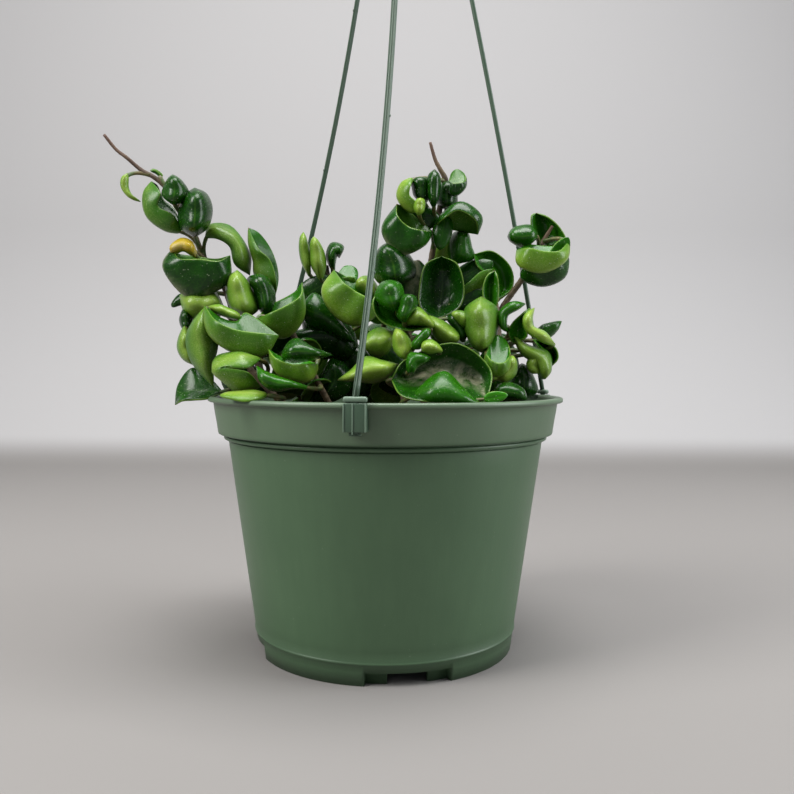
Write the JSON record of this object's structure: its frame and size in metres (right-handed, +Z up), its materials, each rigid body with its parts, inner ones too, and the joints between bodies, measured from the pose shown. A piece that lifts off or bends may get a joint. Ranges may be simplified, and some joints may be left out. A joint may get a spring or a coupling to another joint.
{
  "type": "potted hindu rope plant",
  "caption": "Potted hindu rope plant: curled waxy leaves on rope-like stems in a round green plastic hanging nursery pot with a three-armed hanger.",
  "frame": {"origin": "on the pot's axis, on the surface that the pot stands on", "axes": "+Z up along the pot's axis, -Y towards the front of the plant, +X to its right as seen from the front"},
  "size_m": [0.2075, 0.1664, 0.4427],
  "materials": {
    "pot_plastic": "satin moulded polypropylene",
    "hanger_plastic": "satin moulded polypropylene",
    "potting_mix": "matt loose bark and peat",
    "foliage": "waxy gloss"
  },
  "bodies": {
    "root": {"pot": "pot_plastic", "soil": "potting_mix", "hanger_hook": "hanger_plastic", "hanger_arm_front": "hanger_plastic", "hanger_arm_right": "hanger_plastic", "hanger_arm_left": "hanger_plastic", "stem_left_tall": "foliage", "stem_left_front": "foliage", "stem_left_middle": "foliage", "stem_behind_left": "foliage", "stem_middle_tall": "foliage", "stem_front_middle": "foliage", "stem_right": "foliage", "stem_right_tall": "foliage", "stem_back_left": "foliage", "stem_back_middle": "foliage", "stem_back_right": "foliage", "stem_centre": "foliage", "stem_inner_left": "foliage", "stem_inner_right": "foliage"}
  },
  "joints": []
}
